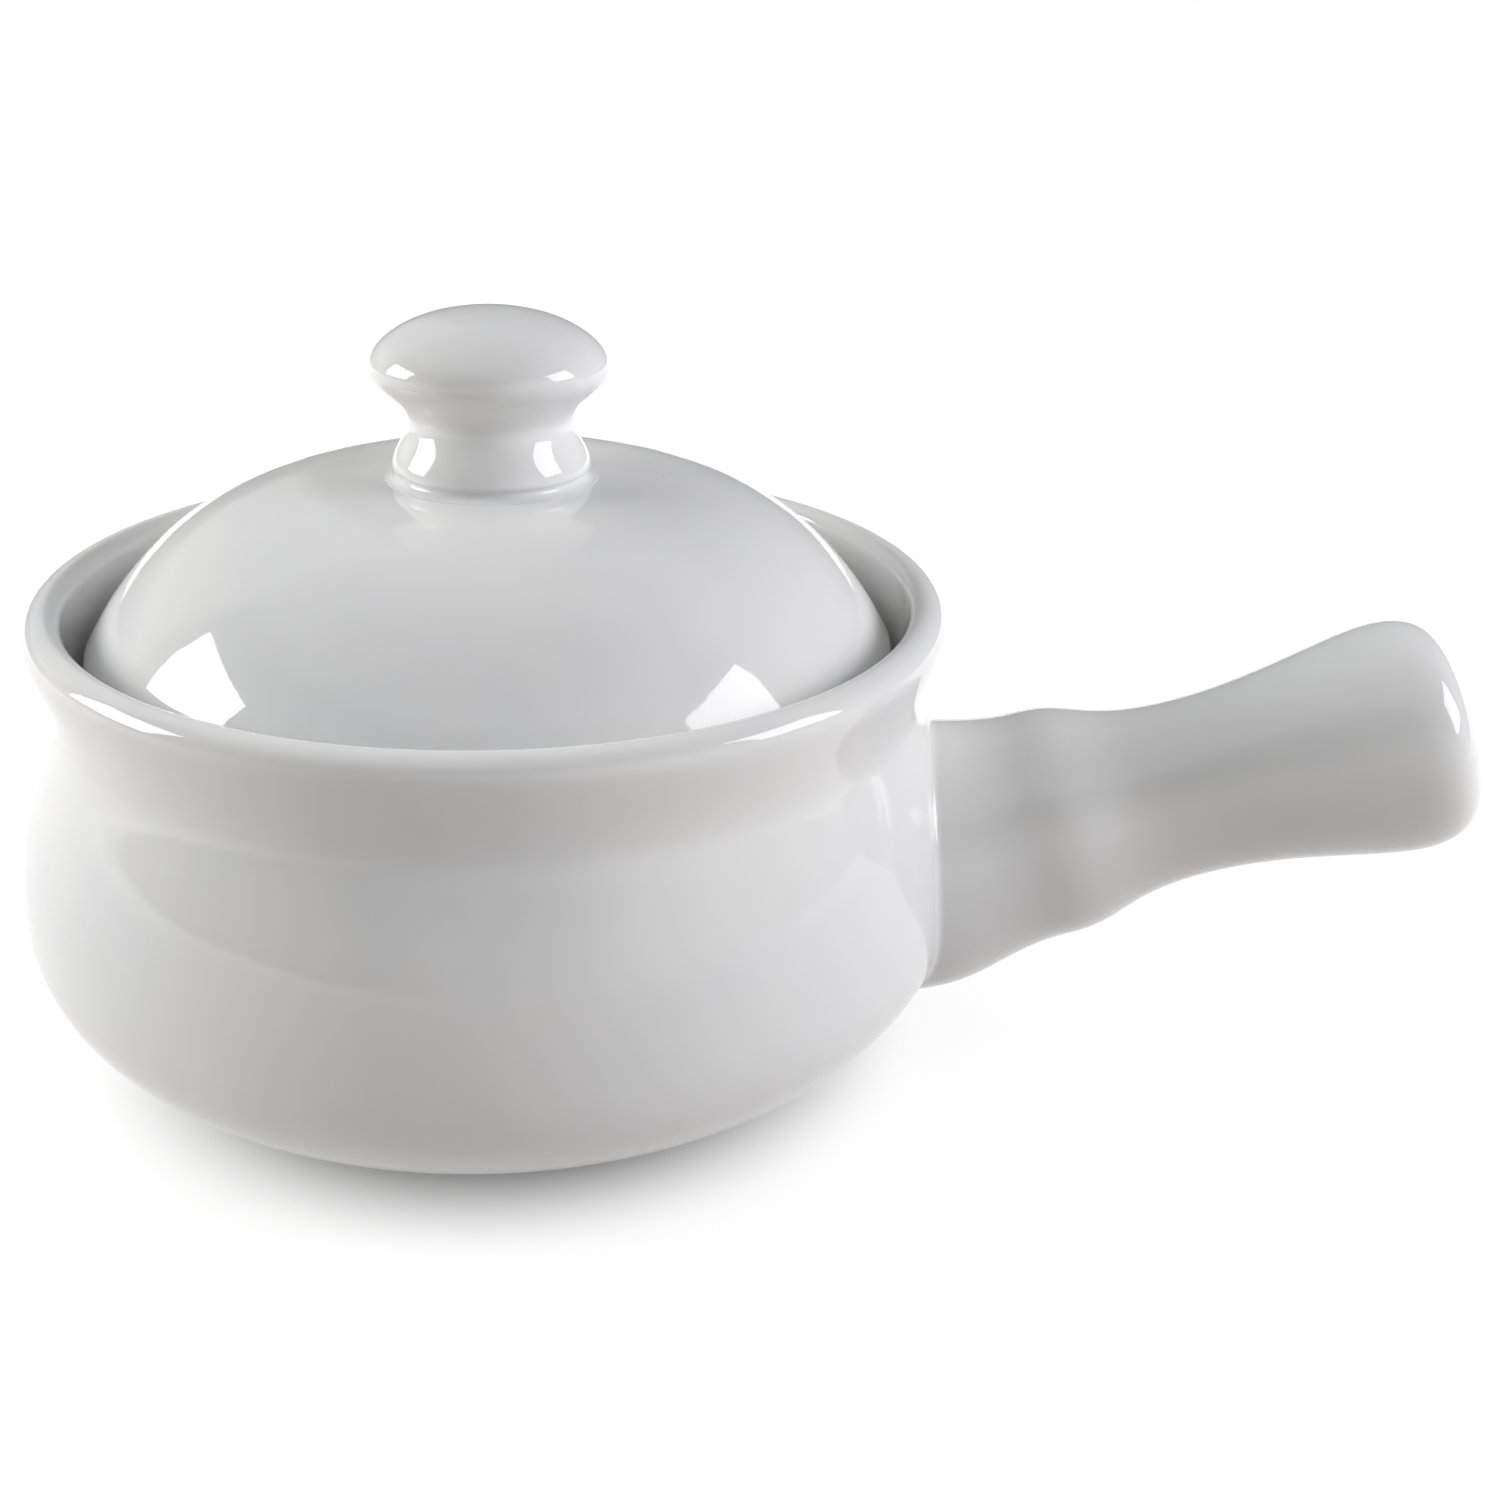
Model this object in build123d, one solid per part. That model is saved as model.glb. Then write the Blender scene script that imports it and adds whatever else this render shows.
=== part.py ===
from build123d import *
import os

# A lidded soup crock in glazed stoneware: bowl, stick handle, domed lid and mushroom knob.
# Millimetres. The origin is on the bowl's axis where its foot stands, +Z is up and the handle points along +X.
# A pull is how far a curve keeps its direction as it leaves or reaches a point, so a long pull makes a slow bend.

# Bowl, outside, from the foot up
FOOT_RADIUS = 35.8
FOOT_RING_WIDTH = 3.4
FOOT_RECESS = 2.0
FOOT_OUT_PULL = 10.4
FOOT_UP_PULL = 3.9
BELLY_RADIUS = 69.9
BELLY_HEIGHT = 27.7
BELLY_DOWN_PULL = 18.8
BELLY_UP_PULL = 15.3
NECK_RADIUS = 63.1
NECK_HEIGHT = 57.5
NECK_PULL = 3.9
LIP_RADIUS = 66.0
LIP_ROUND = 2.9
LIP_WIDTH = 5.3
LIP_PULL = 2.3
BOWL_HEIGHT = 72.0

# Bowl, inside
WALL = 5.4
FLOOR = 5.5
FLOOR_RADIUS = 26.0
FLOOR_PULL = 19.0
INNER_BELLY_DOWN_PULL = 14.0
INNER_BELLY_UP_PULL = 12.0
LEDGE_DEPTH = 12.0
LEDGE_THICKNESS = 3.0
LEDGE_WIDTH = 4.8
LEDGE_ROUND = 0.8
LEDGE_PULL = 6.0

# Lid
LID_RADIUS = 58.4
LID_CLEARANCE = 0.9
LID_RISE = 27.8
LID_EDGE_RISE = 4.4
LID_EDGE_ROUND = 1.6
LID_SHOULDER_ROUND = 3.0
LID_WALL = 5.0
DOME_OUT_PULL = 11.5
DOME_EDGE_IN_PULL = 13.0
DOME_EDGE_UP_PULL = 23.4
BEZEL_CLEARANCE = 0.9
BEZEL_DEPTH = 4.0
BEZEL_WIDTH = 4.0
BEZEL_ROUND = 1.4
HOLLOW_UP_PULL = 9.0
HOLLOW_OUT_PULL = 30.0

# Knob
KNOB_SEAT_RADIUS = 15.2
KNOB_TUCK_RADIUS = 13.6
KNOB_TUCK_RISE = 1.0
KNOB_TUCK_PULL = 0.4
KNOB_FOOT_RADIUS = 14.1
KNOB_FOOT_RISE = 1.9
KNOB_FOOT_DOWN_PULL = 0.4
KNOB_FOOT_UP_PULL = 2.2
KNOB_NECK_RADIUS = 11.7
KNOB_NECK_RISE = 8.4
KNOB_NECK_DOWN_PULL = 2.2
KNOB_NECK_UP_PULL = 3.4
KNOB_CAP_RADIUS = 16.8
KNOB_CAP_RISE = 16.2
KNOB_CAP_DOWN_PULL = 3.4
KNOB_CAP_UP_PULL = 2.9
KNOB_TOP_RISE = 23.9
KNOB_TOP_PULL = 10.8

# Handle, measured along its own axis from where that axis leaves the belly
HANDLE_HEIGHT = 33.2
HANDLE_TILT = 18.5
HANDLE_WALL = 4.5
ROOT_RADIUS = 20.5
ROOT_BACK = 6.8
ROOT_LENGTH = 30.9
ROOT_PULL = 7.2
RING_RADIUS = 17.2
RING_REACH = 13.6
RING_BACK_PULL = 8.9
RING_OUT_PULL = 8.5
WAIST_RADIUS = 13.2
WAIST_REACH = 36.0
WAIST_BACK_PULL = 13.3
WAIST_OUT_PULL = 13.1
GRIP_RADIUS = 17.0
GRIP_REACH = 66.4
GRIP_PULL = 6.6
END_PULL = 10.1
HANDLE_REACH = 76.2

# A quarter of an ellipse is a curve whose pulls are this share of its two half axes.
ROUND_PULL = 0.5523

# Heights and radii that follow from the sizes above
LIP_HEIGHT = BOWL_HEIGHT - LIP_ROUND
THROAT_RADIUS = LIP_RADIUS - LIP_WIDTH
THROAT_ROUND = LIP_WIDTH - LIP_ROUND
LEDGE_HEIGHT = BOWL_HEIGHT - LEDGE_DEPTH
SEAT_RADIUS = LID_RADIUS + LID_CLEARANCE
LEDGE_BORE = SEAT_RADIUS - LEDGE_WIDTH
FLOOR_HEIGHT = FOOT_RECESS + FLOOR
CROWN_HEIGHT = LEDGE_HEIGHT + LID_RISE
BEZEL_RADIUS = LEDGE_BORE - BEZEL_CLEARANCE
HOLLOW_RADIUS = BEZEL_RADIUS - BEZEL_WIDTH


def bend(start, start_pull, end, end_pull):
    """A smooth curve that leaves start along start_pull and reaches end against end_pull."""
    return Bezier(start, Vector(start) + Vector(start_pull), Vector(end) + Vector(end_pull), end)


def turned(outline):
    """The solid that an outline of radius and height makes when it is turned about the upright axis."""
    return revolve(Plane.XZ * make_face(outline), Axis.Z)


def rounded(section, corner, radius):
    """A section with the corner at this point rounded off."""
    return fillet(section.vertices().sort_by_distance(corner)[0], radius)


def bowl_outside():
    """The outline of the bowl's outer face, from the foot up to the top of the lip."""
    foot = (FOOT_RADIUS, 0)
    belly = (BELLY_RADIUS, BELLY_HEIGHT)
    neck = (NECK_RADIUS, NECK_HEIGHT)
    lip = (LIP_RADIUS, LIP_HEIGHT)
    lip_top = (LIP_RADIUS - LIP_ROUND, BOWL_HEIGHT)
    return [
        bend(foot, (FOOT_OUT_PULL, FOOT_UP_PULL), belly, (0, -BELLY_DOWN_PULL)),
        bend(belly, (0, BELLY_UP_PULL), neck, (0, -NECK_PULL)),
        bend(neck, (0, NECK_PULL), lip, (0, -LIP_PULL)),
        RadiusArc(lip, lip_top, -LIP_ROUND),
    ]


def bowl_inside():
    """The outline of the bowl's inner face, from the top of the lip past the lid's ledge to the floor."""
    lip_top = (LIP_RADIUS - LIP_ROUND, BOWL_HEIGHT)
    throat = (THROAT_RADIUS, BOWL_HEIGHT - THROAT_ROUND)
    seat = (SEAT_RADIUS, LEDGE_HEIGHT)
    ledge_edge = (LEDGE_BORE + LEDGE_ROUND, LEDGE_HEIGHT)
    bore_top = (LEDGE_BORE, LEDGE_HEIGHT - LEDGE_ROUND)
    bore_end = (LEDGE_BORE, LEDGE_HEIGHT - LEDGE_THICKNESS)
    belly = (BELLY_RADIUS - WALL, BELLY_HEIGHT)
    floor_edge = (FLOOR_RADIUS, FLOOR_HEIGHT)
    return [
        RadiusArc(lip_top, throat, -THROAT_ROUND),
        Line(throat, seat),
        Line(seat, ledge_edge),
        RadiusArc(ledge_edge, bore_top, -LEDGE_ROUND),
        Line(bore_top, bore_end),
        bend(bore_end, (0, -LEDGE_PULL), belly, (0, INNER_BELLY_UP_PULL)),
        bend(belly, (0, -INNER_BELLY_DOWN_PULL), floor_edge, (FLOOR_PULL, 0)),
        Line(floor_edge, (0, FLOOR_HEIGHT)),
    ]


def bowl_foot():
    """The outline of the underside: the recess, then the flat ring that the crock stands on."""
    ring_inside = (FOOT_RADIUS - FOOT_RING_WIDTH, 0)
    recess_edge = (FOOT_RADIUS - FOOT_RING_WIDTH - FOOT_RECESS, FOOT_RECESS)
    return [
        Line((0, FLOOR_HEIGHT), (0, FOOT_RECESS)),
        Line((0, FOOT_RECESS), recess_edge),
        Line(recess_edge, ring_inside),
        Line(ring_inside, (FOOT_RADIUS, 0)),
    ]


def make_bowl():
    """The bowl: a round belly on a foot ring, a drawn-in neck and a flared lip with a ledge for the lid."""
    return turned(bowl_outside() + bowl_inside() + bowl_foot())


def bowl_envelope():
    """Everything inside the bowl's outer face, as one solid."""
    lip_top = (LIP_RADIUS - LIP_ROUND, BOWL_HEIGHT)
    closing = [
        Line(lip_top, (0, BOWL_HEIGHT)),
        Line((0, BOWL_HEIGHT), (0, 0)),
        Line((0, 0), (FOOT_RADIUS, 0)),
    ]
    return turned(bowl_outside() + closing)


def make_lid():
    """The lid: a dome with a flat spot for the knob, a rim that sits on the ledge and a bezel inside it."""
    crown = (KNOB_SEAT_RADIUS, CROWN_HEIGHT)
    shoulder = (LID_RADIUS, LEDGE_HEIGHT + LID_EDGE_RISE)
    rim_corner = (LID_RADIUS, LEDGE_HEIGHT)
    bezel_root = (BEZEL_RADIUS, LEDGE_HEIGHT)
    bezel_out = (BEZEL_RADIUS, LEDGE_HEIGHT - BEZEL_DEPTH)
    bezel_in = (HOLLOW_RADIUS, LEDGE_HEIGHT - BEZEL_DEPTH)
    hollow_edge = (HOLLOW_RADIUS, LEDGE_HEIGHT + LID_EDGE_RISE)
    hollow_top = (0, CROWN_HEIGHT - LID_WALL)
    section = make_face([
        Line((0, CROWN_HEIGHT), crown),
        bend(crown, (DOME_OUT_PULL, 0), shoulder, (-DOME_EDGE_IN_PULL, DOME_EDGE_UP_PULL)),
        Line(shoulder, rim_corner),
        Line(rim_corner, bezel_root),
        Line(bezel_root, bezel_out),
        Line(bezel_out, bezel_in),
        Line(bezel_in, hollow_edge),
        bend(hollow_edge, (0, HOLLOW_UP_PULL), hollow_top, (HOLLOW_OUT_PULL, 0)),
        Line(hollow_top, (0, CROWN_HEIGHT)),
    ])
    section = rounded(section, shoulder, LID_SHOULDER_ROUND)
    section = rounded(section, rim_corner, LID_EDGE_ROUND)
    section = rounded(section, bezel_out, BEZEL_ROUND)
    section = rounded(section, bezel_in, BEZEL_ROUND)
    return revolve(Plane.XZ * section, Axis.Z)


def make_lid_knob():
    """The mushroom knob: a coved and rolled foot, a drawn-in neck and a domed cap."""
    seat = (KNOB_SEAT_RADIUS, CROWN_HEIGHT)
    tuck = (KNOB_TUCK_RADIUS, CROWN_HEIGHT + KNOB_TUCK_RISE)
    foot = (KNOB_FOOT_RADIUS, CROWN_HEIGHT + KNOB_FOOT_RISE)
    neck = (KNOB_NECK_RADIUS, CROWN_HEIGHT + KNOB_NECK_RISE)
    cap = (KNOB_CAP_RADIUS, CROWN_HEIGHT + KNOB_CAP_RISE)
    top = (0, CROWN_HEIGHT + KNOB_TOP_RISE)
    cove_in = (KNOB_SEAT_RADIUS - KNOB_TUCK_RADIUS) * ROUND_PULL
    cove_down = KNOB_TUCK_RISE * ROUND_PULL
    return turned([
        Line((0, CROWN_HEIGHT), seat),
        bend(seat, (-cove_in, 0), tuck, (0, -cove_down)),
        bend(tuck, (0, KNOB_TUCK_PULL), foot, (0, -KNOB_FOOT_DOWN_PULL)),
        bend(foot, (0, KNOB_FOOT_UP_PULL), neck, (0, -KNOB_NECK_DOWN_PULL)),
        bend(neck, (0, KNOB_NECK_UP_PULL), cap, (0, -KNOB_CAP_DOWN_PULL)),
        bend(cap, (0, KNOB_CAP_UP_PULL), top, (KNOB_TOP_PULL, 0)),
        Line(top, (0, CROWN_HEIGHT)),
    ])


def handle_form(skin):
    """The handle's round form about its own axis, taken in by a skin of this thickness."""
    start = (-ROOT_BACK - ROOT_LENGTH + skin, 0)
    root = (-ROOT_BACK, ROOT_RADIUS - skin)
    ring = (RING_REACH, RING_RADIUS - skin)
    waist = (WAIST_REACH, WAIST_RADIUS - skin)
    grip = (GRIP_REACH - skin, GRIP_RADIUS - skin)
    end = (HANDLE_REACH - skin, 0)
    root_round = (ROOT_LENGTH - skin) * ROUND_PULL
    end_depth = HANDLE_REACH - GRIP_REACH
    outline = [
        bend(start, (0, (ROOT_RADIUS - skin) * ROUND_PULL), root, (-root_round, 0)),
        bend(root, (ROOT_PULL, 0), ring, (-RING_BACK_PULL, 0)),
        bend(ring, (RING_OUT_PULL, 0), waist, (-WAIST_BACK_PULL, 0)),
        bend(waist, (WAIST_OUT_PULL, 0), grip, (-GRIP_PULL, 0)),
        bend(grip, (end_depth, 0), end, (0, END_PULL - skin)),
        Line(end, start),
    ]
    return revolve(make_face(outline), Axis.X)


def make_handle():
    """The hollow stick handle, closed at its end and cut to the belly that it is joined to."""
    form = handle_form(0) - handle_form(HANDLE_WALL)
    placed = Pos(BELLY_RADIUS, 0, HANDLE_HEIGHT) * Rot(0, -HANDLE_TILT, 0) * form
    return placed - bowl_envelope()


os.makedirs("parts", exist_ok=True)
export_step(make_bowl(), "parts/bowl.step")
export_step(make_handle(), "parts/handle.step")
export_step(make_lid(), "parts/lid.step")
export_step(make_lid_knob(), "parts/lid_knob.step")
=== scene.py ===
# %% [markdown]
# # A lidded soup crock in white glaze
# The real object is a small stoneware pot for soup that is finished under a grill: a round bowl, a
# hollow stick handle, a domed lid and a mushroom knob. All four were shaped in clay, joined with
# slip, glazed and fired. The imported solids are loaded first. They stay where they are and fix every
# place and size in this file. They could be shown as they are, but a gloss glaze mirrors every
# facet of a mesh, so each one is turned again here as a finer skin of the same outline, and the
# skin stands for the solid.

import math

import bpy
from mathutils import Matrix, Vector


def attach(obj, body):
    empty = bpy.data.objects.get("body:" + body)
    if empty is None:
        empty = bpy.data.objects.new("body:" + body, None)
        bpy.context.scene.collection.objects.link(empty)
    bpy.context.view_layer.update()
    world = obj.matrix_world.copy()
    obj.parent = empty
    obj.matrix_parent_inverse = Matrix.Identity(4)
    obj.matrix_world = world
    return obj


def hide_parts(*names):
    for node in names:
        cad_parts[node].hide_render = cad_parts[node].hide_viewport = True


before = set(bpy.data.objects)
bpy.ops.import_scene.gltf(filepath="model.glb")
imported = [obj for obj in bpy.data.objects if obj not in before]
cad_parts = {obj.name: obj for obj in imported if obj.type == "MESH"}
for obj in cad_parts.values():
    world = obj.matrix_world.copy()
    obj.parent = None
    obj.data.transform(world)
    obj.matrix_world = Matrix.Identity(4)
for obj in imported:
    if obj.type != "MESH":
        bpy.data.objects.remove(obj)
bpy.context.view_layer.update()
print("solids:", sorted(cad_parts))

# %% [markdown]
# ## The camera
# The view is a close one, about a third of a metre from the crock and looking down on it by some 23
# degrees, so the near side of the bowl is clearly larger than the far side. A camera could be aimed
# with a constraint. Writing its three axes as a matrix keeps the small lean of the picture as well,
# and nothing needs to be solved again. The lens is given for a sensor 36 mm wide, which spans the
# square picture.

# %% Camera
MM = 0.001
EYE = Vector((52.28, -271.39, 164.42)) * MM
LOOK_DOWN = math.radians(23.38)
LOOK_ASIDE = math.radians(3.0)
LEAN = math.radians(1.60)
LENS = 47.16

aside = Matrix.Rotation(LOOK_ASIDE, 3, "Z")
ahead = aside @ Vector((0, math.cos(LOOK_DOWN), -math.sin(LOOK_DOWN)))
level = aside @ Vector((1, 0, 0))
upright = level.cross(ahead)
right = math.cos(LEAN) * level + math.sin(LEAN) * upright
up = math.cos(LEAN) * upright - math.sin(LEAN) * level

eye = bpy.data.cameras.new("eye")
eye.lens = LENS
eye.sensor_width = 36.0
eye.clip_start = 0.01
eye_stand = bpy.data.objects.new("eye", eye)
eye_stand.matrix_world = Matrix((
    (right.x, up.x, -ahead.x, EYE.x),
    (right.y, up.y, -ahead.y, EYE.y),
    (right.z, up.z, -ahead.z, EYE.z),
    (0, 0, 0, 1),
))
bpy.context.scene.collection.objects.link(eye_stand)
bpy.context.scene.camera = eye_stand
bpy.context.scene.view_settings.view_transform = "Standard"
print("camera is", round(EYE.length, 3), "m from the foot of the crock")

# %% [markdown]
# ## Curves with pulls
# A potter's template has few corners: the outline runs from one widest or narrowest place to the
# next in a slow bend. Each such bend is a cubic curve that leaves its first point along one pull
# and arrives at its last point along another. A spline through many measured points could follow
# the same shape, but it ripples, and a glaze shows every ripple. The points are radius and height
# in millimetres.

# %% Helpers for outlines
ROUND_PULL = 0.5523


def bend(start, leave, end, arrive, steps=24):
    """Points along the curve from start to end, without the last one."""
    a = (start[0] + leave[0], start[1] + leave[1])
    b = (end[0] + arrive[0], end[1] + arrive[1])
    points = []
    for i in range(steps):
        t = i / steps
        s = 1 - t
        w = (s * s * s, 3 * s * s * t, 3 * s * t * t, t * t * t)
        points.append(tuple(w[0] * start[k] + w[1] * a[k] + w[2] * b[k] + w[3] * end[k] for k in (0, 1)))
    return points


def straight(start, end, steps=4):
    """Points along the line from start to end, without the last one."""
    return [tuple(start[k] + (end[k] - start[k]) * i / steps for k in (0, 1)) for i in range(steps)]


def eased(points, corner, radius, steps=8):
    """An outline with its corner at this point rounded off."""
    at = min(range(len(points)), key=lambda i: math.dist(points[i], corner))
    into = Vector((points[at][0] - points[at - 1][0], points[at][1] - points[at - 1][1])).normalized()
    out = Vector((points[at + 1][0] - points[at][0], points[at + 1][1] - points[at][1])).normalized()
    turn = into.angle(out)
    reach = radius * math.tan(turn / 2)
    pull = 4 / 3 * math.tan(turn / 4) * radius
    first, last = Vector(corner) - reach * into, Vector(corner) + reach * out
    before = [p for p in points[:at] if math.dist(p, corner) > reach]
    after = [p for p in points[at + 1:] if math.dist(p, corner) > reach]
    curve = bend(tuple(first), tuple(pull * into), tuple(last), tuple(-pull * out), steps)
    return before + curve + [tuple(last)] + after


halfway = bend((10, 0), (0, 10 * ROUND_PULL), (0, 10), (10 * ROUND_PULL, 0), 2)[1]
print("a quarter round of 10 mm passes", round(math.hypot(*halfway), 3), "mm from its middle")

# %% [markdown]
# ## Turning an outline
# On the wheel, or in a spinning mould, the clay takes the outline all the way round. The Screw
# modifier does the same to a curve. Here the rings are written out as quads, because then the ends
# on the axis close in one clean point, and each vertex can carry a number of its own that the glaze
# reads later.

# %% Helpers for turned pieces
SIDES = 288


def skin(name, points, faces):
    """A smooth mesh object from points in millimetres."""
    mesh = bpy.data.meshes.new(name)
    mesh.from_pydata([Vector(p) * MM for p in points], [], faces)
    mesh.shade_smooth()
    piece = bpy.data.objects.new(name, mesh)
    bpy.context.scene.collection.objects.link(piece)
    return piece


def turned(name, outline):
    """The skin that an outline of radius and height makes when it is turned about the upright axis."""
    points, rings, faces = [], [], []
    around = [2 * math.pi * i / SIDES for i in range(SIDES)]
    for r, z in outline:
        if r < 1e-6:
            rings.append([len(points)] * SIDES)
            points.append((0, 0, z))
        else:
            rings.append(list(range(len(points), len(points) + SIDES)))
            points += [(r * math.cos(a), r * math.sin(a), z) for a in around]
    for low, high in zip(rings, rings[1:]):
        for i in range(SIDES):
            j = (i + 1) % SIDES
            face = (low[i], low[j], high[j], high[i])
            faces.append(tuple(dict.fromkeys(face)))
    return skin(name, points, faces)


print("a turned piece has", SIDES, "sides")

# %% [markdown]
# ## The bowl's outside
# The bowl is one shell. Outside it goes from a narrow foot ring to a full belly, draws in to a neck
# and flares to a rounded lip. It could be a solid of the outside with a hollow cut out of it, but a
# single closed outline, from under the foot over the lip and down to the floor, gives one unbroken
# skin, so that reflections run over the lip without a seam. Here is its outer part.

# %% Bowl outside
FOOT_RADIUS = 35.8
BELLY_RADIUS, BELLY_HEIGHT = 69.9, 27.7
NECK_RADIUS, NECK_HEIGHT = 63.1, 57.5
LIP_RADIUS, LIP_ROUND, BOWL_HEIGHT = 66.0, 2.9, 72.0
FOOT_PULL, BELLY_DOWN_PULL, BELLY_UP_PULL = (10.4, 3.9), 18.8, 15.3
NECK_PULL, LIP_PULL = 3.9, 2.3

foot = (FOOT_RADIUS, 0)
belly = (BELLY_RADIUS, BELLY_HEIGHT)
neck = (NECK_RADIUS, NECK_HEIGHT)
lip = (LIP_RADIUS, BOWL_HEIGHT - LIP_ROUND)
lip_top = (LIP_RADIUS - LIP_ROUND, BOWL_HEIGHT)
bowl_outside = (
    bend(foot, FOOT_PULL, belly, (0, -BELLY_DOWN_PULL), 48)
    + bend(belly, (0, BELLY_UP_PULL), neck, (0, -NECK_PULL), 36)
    + bend(neck, (0, NECK_PULL), lip, (0, -LIP_PULL), 16)
    + bend(lip, (0, LIP_ROUND * ROUND_PULL), lip_top, (LIP_ROUND * ROUND_PULL, 0), 12)
)
print("bowl outside:", len(bowl_outside), "points up to", round(bowl_outside[-1][1], 1), "mm")

# %% [markdown]
# ## The bowl's underside and inside
# Below, a shallow recess leaves only a ring to stand on, so that the bowl doesn't rock. Inside, the
# wall follows the belly to a flat floor, and the ledge stands out from it as a small shelf. The
# Solidify modifier could give the outside a wall of even thickness, but it would make no ledge and
# no foot. So the outline goes on over the lip, down to the floor, and is turned as one. The edges
# are eased a little, as a sponge eases them before the bowl is fired.

# %% Bowl underside, inside and skin
FOOT_RING, FOOT_RECESS, LIP_WIDTH = 3.4, 2.0, 5.3
SEAT_RADIUS, LEDGE_BORE, LEDGE_HEIGHT, LEDGE_THICKNESS = 59.3, 54.5, 60.0, 3.0
WALL, FLOOR_RADIUS, FLOOR_HEIGHT = 5.4, 26.0, 7.5
BORE_PULL, INNER_UP_PULL, INNER_DOWN_PULL, FLOOR_PULL = 6.0, 12.0, 14.0, 19.0
FOOT_EASE, RECESS_EASE, SEAT_EASE, LEDGE_EASE = 0.5, 1.2, 0.7, 0.8

ring_inside = (FOOT_RADIUS - FOOT_RING, 0)
recess_edge = (FOOT_RADIUS - FOOT_RING - FOOT_RECESS, FOOT_RECESS)
underside = (
    straight((0, FOOT_RECESS), recess_edge, 12)
    + straight(recess_edge, ring_inside, 6)
    + straight(ring_inside, foot, 6)
)

throat_round = LIP_WIDTH - LIP_ROUND
throat = (LIP_RADIUS - LIP_WIDTH, BOWL_HEIGHT - throat_round)
seat = (SEAT_RADIUS, LEDGE_HEIGHT)
ledge_edge = (LEDGE_BORE, LEDGE_HEIGHT)
bore_end = (LEDGE_BORE, LEDGE_HEIGHT - LEDGE_THICKNESS)
inner_belly = (BELLY_RADIUS - WALL, BELLY_HEIGHT)
floor_edge = (FLOOR_RADIUS, FLOOR_HEIGHT)
bowl_inside = (
    bend(lip_top, (-throat_round * ROUND_PULL, 0), throat, (0, throat_round * ROUND_PULL), 12)
    + straight(throat, seat, 6)
    + straight(seat, ledge_edge, 6)
    + straight(ledge_edge, bore_end, 4)
    + bend(bore_end, (0, -BORE_PULL), inner_belly, (0, INNER_UP_PULL), 28)
    + bend(inner_belly, (0, -INNER_DOWN_PULL), floor_edge, (FLOOR_PULL, 0), 36)
    + straight(floor_edge, (0, FLOOR_HEIGHT), 10)
    + [(0, FLOOR_HEIGHT)]
)

bowl_outline = underside + bowl_outside + bowl_inside
bowl_outline = eased(bowl_outline, foot, FOOT_EASE)
bowl_outline = eased(bowl_outline, ring_inside, FOOT_EASE)
bowl_outline = eased(bowl_outline, recess_edge, RECESS_EASE)
bowl_outline = eased(bowl_outline, seat, SEAT_EASE)
bowl_outline = eased(bowl_outline, ledge_edge, LEDGE_EASE)
bowl = turned("bowl_skin", bowl_outline)
print("bowl:", len(bowl.data.vertices), "vertices, widest", round(1000 * bowl.dimensions.y, 1), "mm")

# %% [markdown]
# ## The handle
# The handle is cast hollow in its own mould: a stout root, one ring, a narrow waist for the fingers
# and a full grip that closes in a blunt end. Its outline is turned about its own axis, which rises
# from the belly. A row of scaled circles, bridged, could follow the shape as well, but one outline
# with a pull at each widest or narrowest place keeps the bends slow, as they are in the mould.

# %% Handle outline
HANDLE_HEIGHT, HANDLE_TILT = 33.2, math.radians(18.5)
ROOT_RADIUS, ROOT_BACK, ROOT_LENGTH = 20.5, 6.8, 30.9
RING_RADIUS, RING_REACH = 17.2, 13.6
WAIST_RADIUS, WAIST_REACH = 13.2, 36.0
GRIP_RADIUS, GRIP_REACH, HANDLE_REACH = 17.0, 66.4, 76.2
END_PULL, GRIP_PULL, ROOT_PULL = 10.1, 6.6, 7.2
WAIST_OUT_PULL, WAIST_BACK_PULL = 13.1, 13.3
RING_OUT_PULL, RING_BACK_PULL = 8.5, 8.9

root = (-ROOT_BACK, ROOT_RADIUS)
root_start = (-ROOT_BACK - ROOT_LENGTH, 0)
ring = (RING_REACH, RING_RADIUS)
waist = (WAIST_REACH, WAIST_RADIUS)
grip = (GRIP_REACH, GRIP_RADIUS)
grip_end = (HANDLE_REACH, 0)
handle_outline = (
    bend(grip_end, (0, END_PULL), grip, (HANDLE_REACH - GRIP_REACH, 0), 40)
    + bend(grip, (-GRIP_PULL, 0), waist, (WAIST_OUT_PULL, 0), 40)
    + bend(waist, (-WAIST_BACK_PULL, 0), ring, (RING_OUT_PULL, 0), 32)
    + bend(ring, (-RING_BACK_PULL, 0), root, (ROOT_PULL, 0), 32)
    + bend(root, (-ROOT_LENGTH * ROUND_PULL, 0), root_start, (0, ROOT_RADIUS * ROUND_PULL), 60)
)

axis_along = Vector((math.cos(HANDLE_TILT), 0, math.sin(HANDLE_TILT)))
axis_over = Vector((-math.sin(HANDLE_TILT), 0, math.cos(HANDLE_TILT)))
axis_side = Vector((0, 1, 0))
axis_start = Vector((BELLY_RADIUS, 0, HANDLE_HEIGHT))
rise = round(math.degrees(HANDLE_TILT), 1)
print("handle outline:", len(handle_outline), "points, rising by", rise, "degrees")

# %% [markdown]
# ## The joint of handle and belly
# The handle is cut to the belly's curve while both are damp and is stuck on with slip. A Boolean
# could cut it, but that leaves slivers along the joint. Instead each line of the handle is followed
# from the end until it meets the belly, and a last short curve leads it onto the clay, as the slip
# does that is wiped round such a joint.

# %% Handle joint
JOINT_ROUND, SLIP_STEPS, SLIP_SINK = 1.3, 10, 0.4
HANDLE_SIDES = 192


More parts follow.
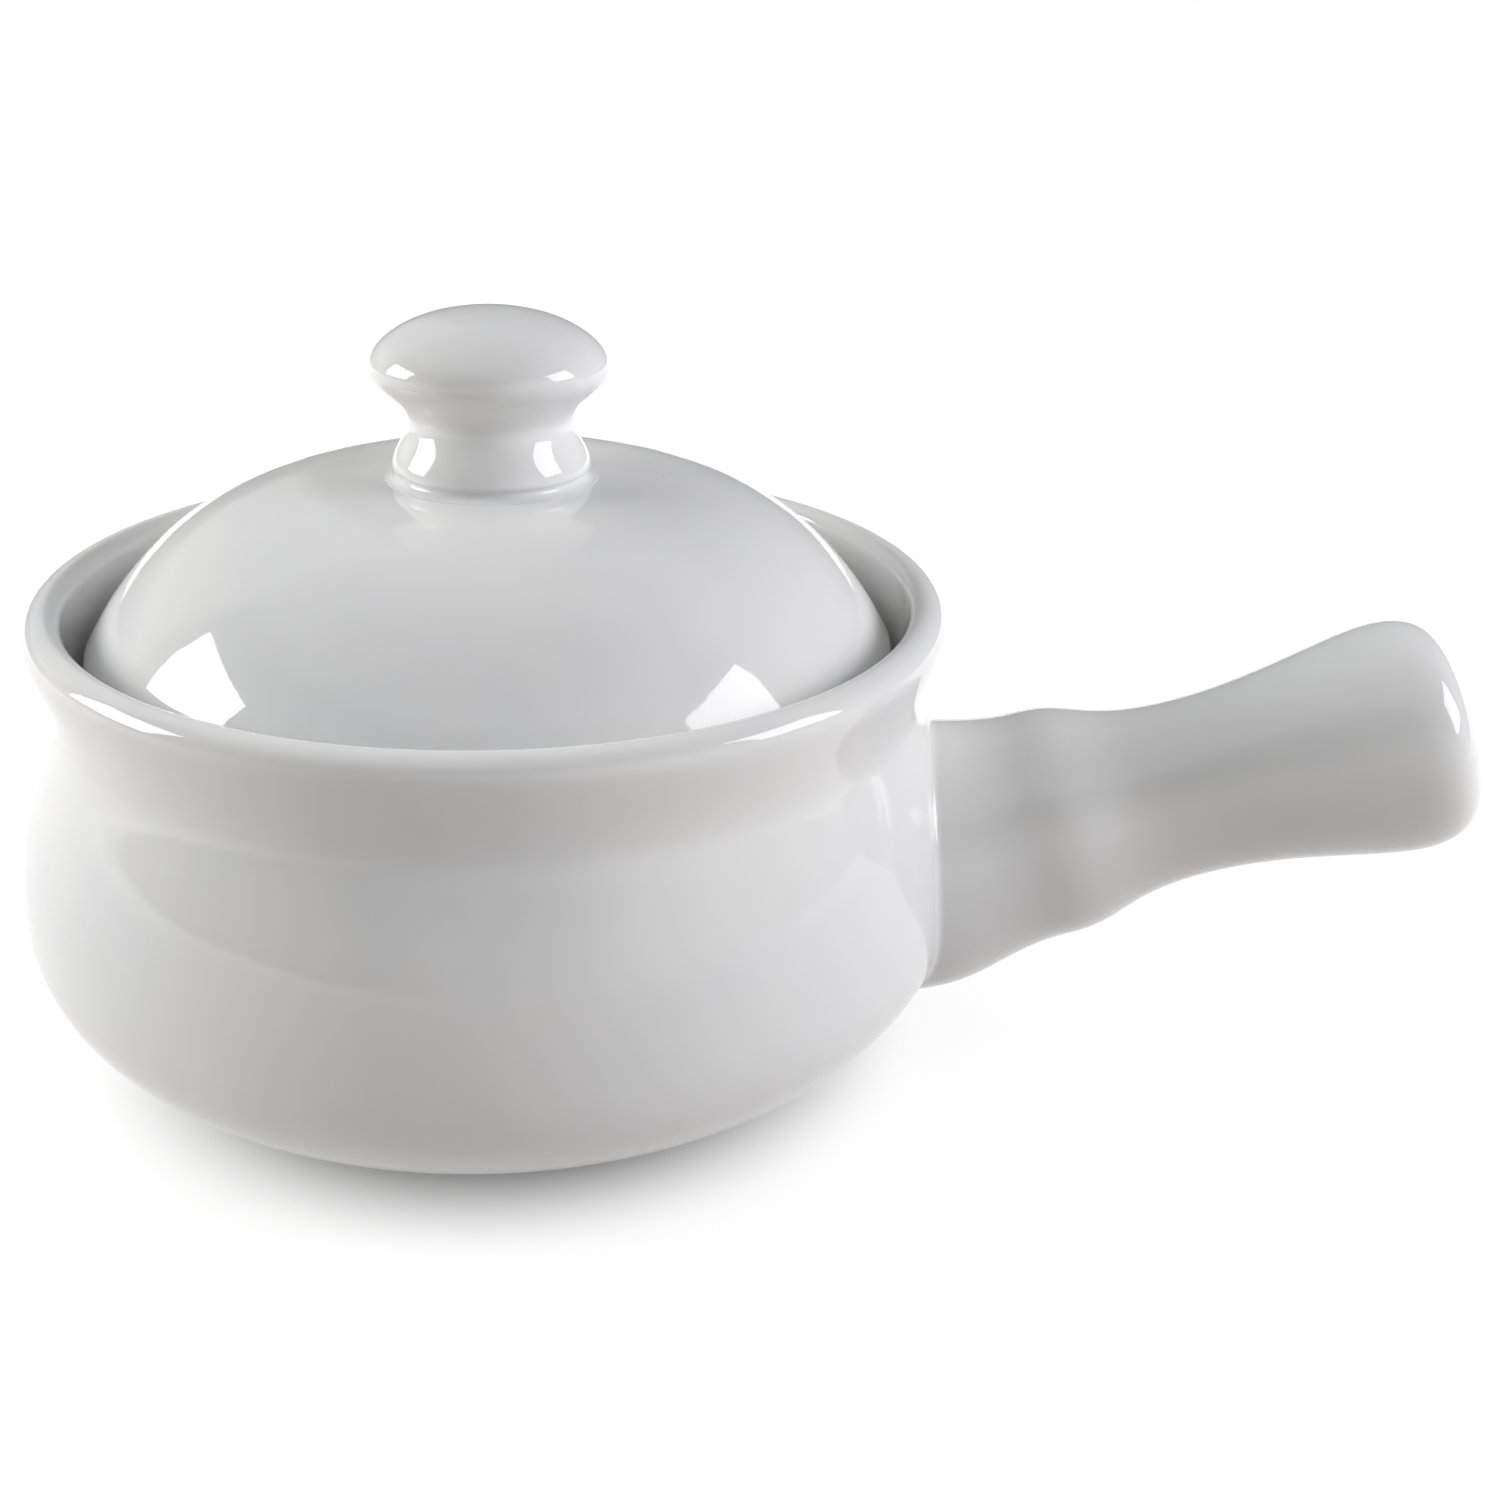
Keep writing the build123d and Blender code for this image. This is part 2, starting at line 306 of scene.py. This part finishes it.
def belly_radius(z):
    """The bowl's outer radius at this height."""
    for (r0, z0), (r1, z1) in zip(bowl_outside, bowl_outside[1:]):
        if z0 <= z <= z1:
            return r0 + (r1 - r0) * (z - z0) / (z1 - z0)
    return FOOT_RADIUS


def clear_of_belly(p):
    """How far a point lies outside the bowl, measured level."""
    return math.hypot(p.x, p.y) - belly_radius(p.z)


def belly_normal(p, near=0.3):
    """The direction that the bowl's skin faces near a point."""
    slope = (belly_radius(p.z + near) - belly_radius(p.z - near)) / (2 * near)
    return Vector((p.x, p.y, -slope * math.hypot(p.x, p.y))).normalized()


def handle_line(i):
    """One line of the handle from its end to the belly, with the curve of slip that leads it on."""
    angle = 2 * math.pi * i / HANDLE_SIDES
    spoke = math.cos(angle) * axis_over + math.sin(angle) * axis_side
    line = [axis_start + s * axis_along + r * spoke for s, r in handle_outline]
    at = next(k for k, p in enumerate(line) if clear_of_belly(p) < 0)
    out, inside = line[at - 1], line[at]
    share = clear_of_belly(out) / (clear_of_belly(out) - clear_of_belly(inside))
    meet = out.lerp(inside, share)
    along = (inside - out).normalized()
    face = belly_normal(meet)
    away = (spoke - spoke.dot(face) * face).normalized()
    body = [p for p in line[:at] if (p - meet).length > JOINT_ROUND]
    landing = meet + JOINT_ROUND * away
    landing -= clear_of_belly(landing) * Vector((landing.x, landing.y, 0)).normalized()
    start = meet - JOINT_ROUND * along
    slip = []
    for k in range(SLIP_STEPS + 1):
        t = k / SLIP_STEPS
        s = 1 - t
        slip.append(s * s * start + 2 * s * t * meet + t * t * landing)
    slip.append(landing - SLIP_SINK * belly_normal(landing))
    return body, slip


lines = [handle_line(i) for i in range(HANDLE_SIDES)]
joint = [round(slip[-2].z, 1) for body, slip in lines]
print("joint reaches from", min(joint), "to", max(joint), "mm above the table")

# %% [markdown]
# ## The handle's skin
# The lines are of unequal length, because the belly cuts them off at different places. Each is
# divided again into the same number of steps and the lines are joined into quads, with one point at
# the end of the grip. A remesh would give even faces too, but it would blur the joint.

# %% Handle skin
HANDLE_ROWS = 150


def spread(line, rows):
    """A line of points taken again at even shares of its length."""
    lengths = [0.0]
    for p, q in zip(line, line[1:]):
        lengths.append(lengths[-1] + (q - p).length)
    result, k = [], 0
    for i in range(rows):
        want = lengths[-1] * i / (rows - 1)
        while k < len(line) - 2 and lengths[k + 1] < want:
            k += 1
        gap = lengths[k + 1] - lengths[k]
        result.append(line[k].lerp(line[k + 1], (want - lengths[k]) / gap if gap > 0 else 0))
    return result


handle_points = [axis_start + grip_end[0] * axis_along]
for body, slip in lines:
    handle_points += spread(body + [slip[0]], HANDLE_ROWS)[1:] + slip[1:]
PER_LINE = (len(handle_points) - 1) // HANDLE_SIDES
handle_faces = []
for i in range(HANDLE_SIDES):
    a = 1 + i * PER_LINE
    b = 1 + (i + 1) % HANDLE_SIDES * PER_LINE
    handle_faces.append((0, b, a))
    handle_faces += [(a + k, b + k, b + k + 1, a + k + 1) for k in range(PER_LINE - 1)]
handle = skin("handle_skin", handle_points, handle_faces)
handle_out = 1000 * max(v.co.x for v in handle.data.vertices)
print("handle:", len(handle.data.vertices), "vertices, ends", round(handle_out, 1), "mm from the axis")

# %% [markdown]
# ## The lid
# The lid is a dome with a flat spot for the knob. Its rim lies on the bowl's ledge and a bezel
# under the rim keeps it from sliding off. Half of a flattened sphere could make the dome, but its
# fullness couldn't be set. So, as with the bowl, one closed outline is turned, and each edge is
# eased by the radius that a fettling tool leaves on damp clay.

# %% Lid
LID_RADIUS, LID_EDGE, CROWN_HEIGHT = 58.4, 4.4, 87.8
BEZEL_RADIUS, BEZEL_DEPTH, HOLLOW_RADIUS, LID_WALL = 53.6, 4.0, 49.6, 5.0
KNOB_SEAT = 15.2
SHOULDER_PULL, CROWN_PULL = (-13.0, 23.4), 11.5
HOLLOW_TOP_PULL, HOLLOW_EDGE_PULL = 30.0, 9.0
BEZEL_EASE, RIM_EASE, SHOULDER_EASE = 1.4, 1.6, 3.0

crown = (KNOB_SEAT, CROWN_HEIGHT)
shoulder = (LID_RADIUS, LEDGE_HEIGHT + LID_EDGE)
rim_corner = (LID_RADIUS, LEDGE_HEIGHT)
bezel_root = (BEZEL_RADIUS, LEDGE_HEIGHT)
bezel_out = (BEZEL_RADIUS, LEDGE_HEIGHT - BEZEL_DEPTH)
bezel_in = (HOLLOW_RADIUS, LEDGE_HEIGHT - BEZEL_DEPTH)
hollow_edge = (HOLLOW_RADIUS, LEDGE_HEIGHT + LID_EDGE)
hollow_top = (0, CROWN_HEIGHT - LID_WALL)
lid_outline = (
    [hollow_top]
    + bend(hollow_top, (HOLLOW_TOP_PULL, 0), hollow_edge, (0, HOLLOW_EDGE_PULL), 40)[1:]
    + straight(hollow_edge, bezel_in, 8)
    + straight(bezel_in, bezel_out, 8)
    + straight(bezel_out, bezel_root, 8)
    + straight(bezel_root, rim_corner, 8)
    + straight(rim_corner, shoulder, 8)
    + bend(shoulder, SHOULDER_PULL, crown, (CROWN_PULL, 0), 80)
    + straight(crown, (0, CROWN_HEIGHT), 6)
    + [(0, CROWN_HEIGHT)]
)
lid_outline = eased(lid_outline, bezel_in, BEZEL_EASE)
lid_outline = eased(lid_outline, bezel_out, BEZEL_EASE)
lid_outline = eased(lid_outline, rim_corner, RIM_EASE)
lid_outline = eased(lid_outline, shoulder, SHOULDER_EASE)
lid = turned("lid_skin", lid_outline)
print("lid:", len(lid.data.vertices), "vertices, across", round(1000 * lid.dimensions.x, 1), "mm")

# %% [markdown]
# ## The knob
# A mushroom knob gives fingers something to hook under: a rolled foot, a drawn-in neck and a domed
# cap. It is thrown or cast apart and stuck to the lid's crown with slip, which leaves the small
# cove at its foot. A sphere on a cylinder would have hard joints between its parts, so its whole
# outline is one chain of bends.

# %% Knob
TUCK_RADIUS, TUCK_RISE, TUCK_PULL = 13.6, 1.0, 0.4
ROLL_RADIUS, ROLL_RISE, ROLL_PULL = 14.1, 1.9, 2.2
STEM_RADIUS, STEM_RISE, STEM_PULL = 11.7, 8.4, 3.4
CAP_RADIUS, CAP_RISE, CAP_PULL = 16.8, 16.2, 2.9
KNOB_RISE, TOP_PULL = 23.9, 10.8

knob_seat = (KNOB_SEAT, CROWN_HEIGHT)
knob_tuck = (TUCK_RADIUS, CROWN_HEIGHT + TUCK_RISE)
knob_foot = (ROLL_RADIUS, CROWN_HEIGHT + ROLL_RISE)
knob_neck = (STEM_RADIUS, CROWN_HEIGHT + STEM_RISE)
knob_cap = (CAP_RADIUS, CROWN_HEIGHT + CAP_RISE)
knob_top = (0, CROWN_HEIGHT + KNOB_RISE)
cove_in = (KNOB_SEAT - TUCK_RADIUS) * ROUND_PULL
cove_down = TUCK_RISE * ROUND_PULL
knob_outline = (
    [(0, CROWN_HEIGHT)]
    + straight((KNOB_SEAT / 2, CROWN_HEIGHT), knob_seat, 4)
    + bend(knob_seat, (-cove_in, 0), knob_tuck, (0, -cove_down), 10)
    + bend(knob_tuck, (0, TUCK_PULL), knob_foot, (0, -TUCK_PULL), 8)
    + bend(knob_foot, (0, ROLL_PULL), knob_neck, (0, -ROLL_PULL), 32)
    + bend(knob_neck, (0, STEM_PULL), knob_cap, (0, -STEM_PULL), 36)
    + bend(knob_cap, (0, CAP_PULL), knob_top, (TOP_PULL, 0), 40)
    + [knob_top]
)
knob = turned("lid_knob_skin", knob_outline)
knob_height = 1000 * max(v.co.z for v in knob.data.vertices)
print("knob:", len(knob.data.vertices), "vertices, top at", round(knob_height, 1), "mm")

# %% [markdown]
# ## The glaze
# A white gloss glaze is a thin layer of glass, clouded with white grains, on a pale clay body. One
# Principled shader holds both: its base colour is the clouded white, and its specular part is the
# glass on top. A diffuse shader under a glossy one could be mixed by Fresnel, but the Principled
# shader keeps the sum of the two right by itself. The helpers only shorten the wiring of its nodes.

# %% Helpers for the glaze
GLAZE_IOR = 1.52

glaze = bpy.data.materials.new("white_glaze_finish")
glaze.use_nodes = True
wires = glaze.node_tree
shader = wires.nodes["Principled BSDF"]
shader.inputs["IOR"].default_value = GLAZE_IOR


def node(kind, **settings):
    """A new node of the glaze with these settings."""
    made = wires.nodes.new(kind)
    for key, value in settings.items():
        setattr(made, key, value)
    return made


def wire(out, into):
    """Joins an output to an input."""
    wires.links.new(out, into)


place = node("ShaderNodeTexCoord").outputs["Object"]


def noise(scale, detail=2.0, rough=0.5):
    """Cloudy noise that is fixed to the piece, with so many clouds to the metre."""
    made = node("ShaderNodeTexNoise")
    made.inputs["Scale"].default_value = scale
    made.inputs["Detail"].default_value = detail
    made.inputs["Roughness"].default_value = rough
    wire(place, made.inputs["Vector"])
    return made.outputs["Fac"]


def ranged(value, low, high, to_low, to_high):
    """A value taken from one range to another and held at its ends."""
    made = node("ShaderNodeMapRange", interpolation_type="SMOOTHSTEP")
    wire(value, made.inputs["Value"])
    for key, number in (("From Min", low), ("From Max", high), ("To Min", to_low), ("To Max", to_high)):
        made.inputs[key].default_value = number
    return made.outputs["Result"]


def mixed(share, first, second):
    """Two colours mixed by a share. Either may be a plain colour or an output."""
    made = node("ShaderNodeMix", data_type="RGBA")
    wire(share, made.inputs[0])
    for colour, socket in ((first, made.inputs[6]), (second, made.inputs[7])):
        if isinstance(colour, tuple):
            socket.default_value = colour
        else:
            wire(colour, socket)
    return made.outputs[2]


def times(first, second):
    """The product of two values."""
    made = node("ShaderNodeMath", operation="MULTIPLY")
    wire(first, made.inputs[0])
    wire(second, made.inputs[1])
    return made.outputs[0]


print("glaze starts with", len(wires.nodes), "nodes")

# %% [markdown]
# ## The colour of the glaze
# The white isn't even: its grains lie in slow clouds, a little cooler where the glaze is thick. A
# few iron specks come from the clay. The foot ring is wiped clean before firing, so the bare body
# shows there, and its colour is mixed in where a piece is marked as bare. A painted texture could
# hold all this, but noise that is fixed to the piece has no seams and needs no picture.

# %% Glaze colour
GLAZE_COLOUR = (0.80, 0.80, 0.79, 1)
CLOUD_COLOUR = (0.77, 0.775, 0.78, 1)
SPECK_COLOUR = (0.30, 0.26, 0.22, 1)
CLAY_COLOUR = (0.62, 0.56, 0.47, 1)
GRAIN_COLOUR = (0.70, 0.65, 0.57, 1)
CLOUDS, GRAINS, SPECKS = 28.0, 2200.0, 75.0
SPECK_EDGE, SPECK_LOT, SPECK_STRENGTH = (0.012, 0.028), (0.80, 0.84), 0.75

specks = node("ShaderNodeTexVoronoi")
specks.inputs["Scale"].default_value = SPECKS
wire(place, specks.inputs["Vector"])
speck_lot = node("ShaderNodeSeparateColor")
wire(specks.outputs["Color"], speck_lot.inputs[0])
speck_here = times(
    ranged(specks.outputs["Distance"], *SPECK_EDGE, 1.0, 0.0),
    ranged(speck_lot.outputs[0], *SPECK_LOT, 0.0, SPECK_STRENGTH),
)

bare = node("ShaderNodeAttribute", attribute_name="bare")
bare_here = ranged(bare.outputs["Fac"], 0.35, 0.65, 0.0, 1.0)

clouded = mixed(ranged(noise(CLOUDS), 0.35, 0.65, 0.0, 1.0), GLAZE_COLOUR, CLOUD_COLOUR)
specked = mixed(speck_here, clouded, SPECK_COLOUR)
grainy_clay = mixed(ranged(noise(GRAINS, 3.0), 0.3, 0.7, 0.0, 1.0), CLAY_COLOUR, GRAIN_COLOUR)
wire(mixed(bare_here, specked, grainy_clay), shader.inputs["Base Color"])
print("glaze has", len(wires.nodes), "nodes with its colour")

# %% [markdown]
# ## The surface of the glaze
# The glass is never quite flat. It has a faint peel that softens highlights, and slow waves from
# the clay that make the edges of reflections wander. Displacement could move the mesh itself, but
# these are a few hundredths of a millimetre deep, so a bump is enough. Bare clay is dry and rough.

# %% Glaze surface
GLOSS_PATCHES, GLOSS_ROUGH, GLOSS_DULL, CLAY_ROUGH = 90.0, 0.03, 0.06, 0.8
WAVES, WAVE_DEPTH = 110.0, 0.00009
PEELS, PEEL_DEPTH = 700.0, 0.000006

gloss = ranged(noise(GLOSS_PATCHES), 0.3, 0.7, GLOSS_ROUGH, GLOSS_DULL)
dryness = node("ShaderNodeMix", data_type="FLOAT")
dryness.inputs[3].default_value = CLAY_ROUGH
wire(bare_here, dryness.inputs[0])
wire(gloss, dryness.inputs[2])
wire(dryness.outputs[0], shader.inputs["Roughness"])


def dented(height, depth, below=None):
    """A bump of this depth in metres, on top of another bump."""
    made = node("ShaderNodeBump")
    made.inputs["Strength"].default_value = 1.0
    made.inputs["Distance"].default_value = depth
    wire(height, made.inputs["Height"])
    if below is not None:
        wire(below, made.inputs["Normal"])
    return made.outputs["Normal"]


waves = dented(noise(WAVES, 1.0), WAVE_DEPTH)
peel = dented(noise(PEELS, 1.0), PEEL_DEPTH, waves)
wire(peel, shader.inputs["Normal"])
print("glaze has", len(wires.nodes), "nodes in all")

# %% [markdown]
# ## Where the clay is bare
# Glaze sticks a pot to the kiln shelf, so it is wiped from whatever the pot stands on: the bowl's
# foot ring and the end of the lid's bezel. The place could be found in the shader by height, but
# the lid moves. A number kept on each vertex moves with its piece.

# %% Bare clay
def wiped(piece, below):
    """Marks the skin of a piece that lies lower than this many millimetres as bare."""
    marks = piece.data.attributes.new("bare", "FLOAT", "POINT")
    values = [1.0 if v.co.z < below * MM else 0.0 for v in piece.data.vertices]
    marks.data.foreach_set("value", values)
    return int(sum(values))


FOOT_WIPE, BEZEL_WIPE = 0.25, 0.2
bare_on_bowl = wiped(bowl, FOOT_WIPE)
bare_on_lid = wiped(lid, LEDGE_HEIGHT - BEZEL_DEPTH + BEZEL_WIPE)
print("bare vertices:", bare_on_bowl, "on the bowl,", bare_on_lid, "on the lid")

# %% [markdown]
# ## Pieces and bodies
# Each skin takes the finish, stands for its solid and rides on the body that carries it. The handle
# is fired to the bowl and the knob to the lid, so there are two bodies: the crock that stands on
# the table and the lid that lifts off it. The skins could be parented to empties by hand, but then
# the lid would have to be moved by hand too. A skin that rides on its body follows every pose.

# %% Riding
RIDERS = (
    (bowl, "bowl", "crock"),
    (handle, "handle", "crock"),
    (lid, "lid", "lid"),
    (knob, "lid_knob", "lid"),
)
for piece, solid, body in RIDERS:
    piece.data.materials.append(glaze)
    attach(piece, body)
    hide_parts(solid)

# %% [markdown]
# ## The table
# A pale table carries the crock and keeps its soft shadow. A sheet of paper that sweeps up behind
# it, as photographers use, could be bent from a grid. A flat disc does here, because the world past
# its edge is white too.

# %% Table
TABLE_SIZE = 4.0
TABLE_CORNERS = 96

table_mesh = bpy.data.meshes.new("table")
rim = [2 * math.pi * i / TABLE_CORNERS for i in range(TABLE_CORNERS)]
table_rim = [(TABLE_SIZE * math.cos(a), TABLE_SIZE * math.sin(a), 0) for a in rim]
table_mesh.from_pydata(table_rim, [], [tuple(range(TABLE_CORNERS))])
table = bpy.data.objects.new("table", table_mesh)
bpy.context.scene.collection.objects.link(table)
print("table is", 2 * TABLE_SIZE, "m across")

# %% [markdown]
# ## The paper on the table
# To the camera, and in the glaze, the table is white: a matt white with a faint glow of its own
# that grows with distance, as a long sheet of paper that is lit again farther back. Close round the
# foot that glow falls to nothing, which paints a narrow dark shadow on the table there, on top of the
# real soft shadow. The light that it throws up at the crock is duller and a little warm. A plain white
# diffuse floor could do both, but then the underside of the bowl would be lit as brightly as its lid,
# and the paper would turn grey towards the back.

# %% Table paper
BOUNCE_COLOUR = (0.56, 0.53, 0.505, 1)
PAPER_COLOUR = (0.24, 0.24, 0.24, 1)
# The glow rises from nothing at the foot's edge to full near the belly's edge. The darker ring round the
# foot is a painted contact shadow, seen by the camera and in the glaze.
NEAR_GLOW_AND_PAINTED_SHADOW = (0.036, 0.066, 0.0, 0.84)
FAR_GLOW = (0.40, 1.05, 0.0, 0.28)


def seen(tree):
    """1 for rays from the camera, from mirrors or through glass, and 0 for rays that gather light."""
    path = tree.nodes.new("ShaderNodeLightPath")
    first = tree.nodes.new("ShaderNodeMath")
    first.operation = "MAXIMUM"
    second = tree.nodes.new("ShaderNodeMath")
    second.operation = "MAXIMUM"
    tree.links.new(path.outputs["Is Camera Ray"], first.inputs[0])
    tree.links.new(path.outputs["Is Glossy Ray"], first.inputs[1])
    tree.links.new(first.outputs[0], second.inputs[0])
    tree.links.new(path.outputs["Is Transmission Ray"], second.inputs[1])
    return second.outputs[0]


paper = bpy.data.materials.new("table_paper")
paper.use_nodes = True
sheet = paper.node_tree
sheet.nodes.remove(sheet.nodes["Principled BSDF"])
dull = sheet.nodes.new("ShaderNodeBsdfDiffuse")
dull.inputs["Color"].default_value = BOUNCE_COLOUR
pale = sheet.nodes.new("ShaderNodeBsdfDiffuse")
pale.inputs["Color"].default_value = PAPER_COLOUR
spot = sheet.nodes.new("ShaderNodeTexCoord")
away = sheet.nodes.new("ShaderNodeVectorMath")
away.operation = "LENGTH"
sheet.links.new(spot.outputs["Object"], away.inputs[0])
both = sheet.nodes.new("ShaderNodeMath")
both.operation = "ADD"
for socket, limits in zip(both.inputs, (NEAR_GLOW_AND_PAINTED_SHADOW, FAR_GLOW)):
    farther = sheet.nodes.new("ShaderNodeMapRange")
    farther.interpolation_type = "SMOOTHSTEP"
    sheet.links.new(away.outputs["Value"], farther.inputs["Value"])
    for key, number in zip(("From Min", "From Max", "To Min", "To Max"), limits):
        farther.inputs[key].default_value = number
    sheet.links.new(farther.outputs["Result"], socket)
lift = sheet.nodes.new("ShaderNodeEmission")
sheet.links.new(both.outputs[0], lift.inputs["Strength"])
lifted = sheet.nodes.new("ShaderNodeAddShader")
sheet.links.new(pale.outputs[0], lifted.inputs[0])
sheet.links.new(lift.outputs[0], lifted.inputs[1])
choice = sheet.nodes.new("ShaderNodeMixShader")
sheet.links.new(seen(sheet), choice.inputs[0])
sheet.links.new(dull.outputs[0], choice.inputs[1])
sheet.links.new(lifted.outputs[0], choice.inputs[2])
sheet.links.new(choice.outputs[0], sheet.nodes["Material Output"].inputs["Surface"])
table.data.materials.append(paper)
print("paper has", len(sheet.nodes), "nodes")

# %% [markdown]
# ## Soft boxes
# Two soft boxes stand left and right of the crock and a little above it. They are what the glaze
# mirrors most clearly: on the lid, on the knob and along the lip. Small spot lamps would light as
# well but leave points in place of windows. Four wider fills, two of them behind the crock, round
# off the light on its sides. They are hidden from the glaze, as a lamp behind a screen is, so that
# only the two boxes show as windows.

# %% Soft boxes
EYE_SIDE = math.atan2(EYE.x, -EYE.y)


def toward(azimuth, elevation):
    """The direction at this many degrees round to the right of the camera's side, and this many up."""
    a, e = EYE_SIDE + math.radians(azimuth), math.radians(elevation)
    return Vector((math.sin(a) * math.cos(e), -math.cos(a) * math.cos(e), math.sin(e)))


AIM = 0.04 * toward(0, 0) + Vector((0, 0, 0.071))


def soft_box(name, azimuth, elevation, distance, width, height, brightness, tint=(1, 1, 1)):
    """A rectangle of even light, as bright as a white card times brightness."""
    lamp = bpy.data.lights.new(name, "AREA")
    lamp.shape = "RECTANGLE"
    lamp.size = width
    lamp.size_y = height
    lamp.energy = brightness * math.pi * width * height
    lamp.color = tint
    stand = bpy.data.objects.new(name, lamp)
    direction = toward(azimuth, elevation)
    stand.location = AIM + distance * direction
    stand.rotation_euler = direction.to_track_quat("Z", "Y").to_euler()
    stand.visible_camera = False
    bpy.context.scene.collection.objects.link(stand)
    return stand


COOL = (0.985, 0.98, 1.02)
windows = [
    soft_box("left_box", -100, 20, 0.94, 0.466, 0.43, 10.0),
    soft_box("right_box", 77, 26, 0.93, 0.416, 0.416, 7.0, COOL),
]
fills = [
    soft_box("right_fill", 84, 18, 1.4, 1.2, 1.0, 1.7, COOL),
    soft_box("front_fill", 22, 6, 1.3, 0.8, 0.5, 0.34),
    soft_box("back_left_fill", -140, 28, 1.4, 1.0, 1.2, 1.35),
    soft_box("back_right_fill", 140, 16, 1.4, 0.9, 0.7, 1.8),
]
for fill in fills:
    fill.visible_glossy = False
print("soft boxes at", [tuple(round(v, 2) for v in box.location) for box in windows + fills])

# %% [markdown]
# ## The studio in the glaze
# A gloss surface is drawn by what it mirrors, also where that is dim. Here that is the studio round
# the boxes: a dim room, a little lighter overhead and behind, and the lit front edge of the table
# below the camera. An image of a studio could be wrapped round the scene. A short list of walls,
# each with its brightness, its edges to the left and right and its lower and upper edge in degrees,
# does it without a picture.

# %% Studio walls
SHARP, SOFT = 3.0, 24.0
WALLS = (
    ("back_wall", 0.22, 94, 239, SOFT, -5, 45),
    ("back_ceiling", 0.50, 94, 239, SOFT, 45, 95),
    ("left_ceiling", 0.50, -121, -10, SOFT, 50, 95),
    ("right_ceiling", 0.35, -10, 94, SOFT, 50, 95),
    ("table_edge", 0.42, -121, 94, SOFT, -5, 12),
    ("lit_front", 0.55, -25, 60, SOFT, -5, 26),
    ("lit_front_right", 0.45, 15, 60, SOFT, -5, 40),
    ("lit_right", 0.45, 60, 94, SOFT, -5, 26),
    ("left_door", 0.35, 190, 238, SHARP, 12, 48),
)


def within(value, low, high, edge):
    """1 between two edges and 0 outside them, with a step as soft as this many degrees at each."""
    rise = min(1.0, max(0.0, (value - low) / edge + 0.5))
    fall = min(1.0, max(0.0, (high - value) / edge + 0.5))
    return rise * rise * (3 - 2 * rise) * fall * fall * (3 - 2 * fall)


def glow(azimuth, elevation):
    """How bright the studio is in this direction."""
    total = 0.0
    for _, level, left, right_end, edge, low, high in WALLS:
        upright_share = within(elevation, low, high, SHARP)
        level_share = max(within(azimuth + turn, left, right_end, edge) for turn in (-360, 0, 360))
        total += level * upright_share * level_share
    return total


print("studio overhead is", round(glow(0, 90), 2), "and level in front", round(glow(0, 0), 2))

# %% [markdown]
# ## The dome
# The walls are put on a dome, as one number on each vertex. The world could carry them, but then
# they would light the crock as well. A dome can be hidden from all rays but those of mirrors, so it
# adds no light.

# %% Studio dome
DOME_RADIUS, DOME_STEP = 1.6, 2

turns, rises = range(0, 360, DOME_STEP), range(0, 91, DOME_STEP)
dome_points = [toward(a, e) * DOME_RADIUS for e in rises for a in turns]
dome_faces = []
for row in range(len(rises) - 1):
    low, high = row * len(turns), (row + 1) * len(turns)
    for t in range(len(turns)):
        after = (t + 1) % len(turns)
        dome_faces.append((low + t, low + after, high + after, high + t))
dome_mesh = bpy.data.meshes.new("studio_dome")
dome_mesh.from_pydata(dome_points, [], dome_faces)
levels = dome_mesh.attributes.new("glow", "FLOAT", "POINT")
levels.data.foreach_set("value", [glow(a, e) for e in rises for a in turns])
dome = bpy.data.objects.new("studio_dome", dome_mesh)
bpy.context.scene.collection.objects.link(dome)
dome.visible_camera = False
dome.visible_diffuse = False
dome.visible_shadow = False

studio = bpy.data.materials.new("studio_dome")
studio.use_nodes = True
dusk = studio.node_tree
dusk.nodes.remove(dusk.nodes["Principled BSDF"])
level = dusk.nodes.new("ShaderNodeAttribute")
level.attribute_name = "glow"
shine = dusk.nodes.new("ShaderNodeEmission")
dusk.links.new(level.outputs["Fac"], shine.inputs["Strength"])
dusk.links.new(shine.outputs[0], dusk.nodes["Material Output"].inputs["Surface"])
dome.data.materials.append(studio)
print("studio dome has", len(dome_faces), "faces")

# %% [markdown]
# ## The room
# What is left is the even light of the room from all sides. Past the table the camera would see the
# world itself, so there it is plain white. One grey world could light the crock as well, but it
# would also be the background. So the world is white for the camera and for mirrors, and dim for
# the rays that gather light.

# %% Room
ROOM_LIGHT = 0.27

room = bpy.data.worlds.new("room")
bpy.context.scene.world = room
room.use_nodes = True
air = room.node_tree
even = air.nodes["Background"]
even.inputs["Color"].default_value = (1, 1, 1, 1)
even.inputs["Strength"].default_value = ROOM_LIGHT
white = air.nodes.new("ShaderNodeBackground")
white.inputs["Color"].default_value = (1, 1, 1, 1)
white.inputs["Strength"].default_value = 1.0
either = air.nodes.new("ShaderNodeMixShader")
air.links.new(seen(air), either.inputs[0])
air.links.new(even.outputs[0], either.inputs[1])
air.links.new(white.outputs[0], either.inputs[2])
air.links.new(either.outputs[0], air.nodes["World Output"].inputs["Surface"])
print("room light", ROOM_LIGHT)
